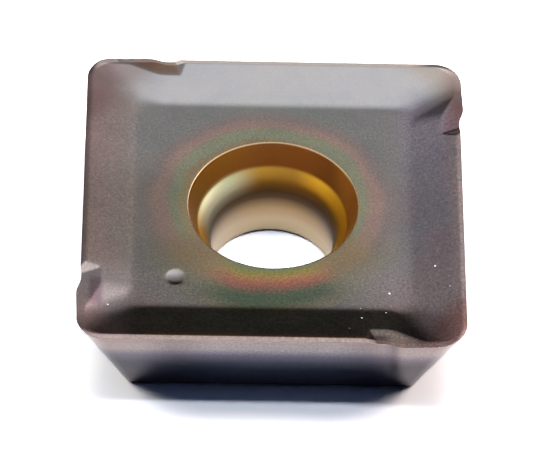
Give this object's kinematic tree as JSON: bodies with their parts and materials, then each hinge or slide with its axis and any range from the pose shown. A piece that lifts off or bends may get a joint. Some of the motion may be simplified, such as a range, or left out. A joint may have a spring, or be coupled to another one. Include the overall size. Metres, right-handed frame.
{
  "type": "indexable milling insert",
  "caption": "Square coated carbide milling insert with a wiper at each corner, a pressed chip former and a countersunk screw hole.",
  "frame": {"origin": "middle of the flat seat face, on the screw hole's axis", "axes": "+Z out of the seat face along the screw hole, towards the cutting edges; X and Y square to the straight cutting edges"},
  "size_m": [0.013, 0.013, 0.004],
  "materials": {
    "coated_carbide": "satin"
  },
  "bodies": {
    "root": {"insert_body": "coated_carbide"}
  },
  "joints": []
}
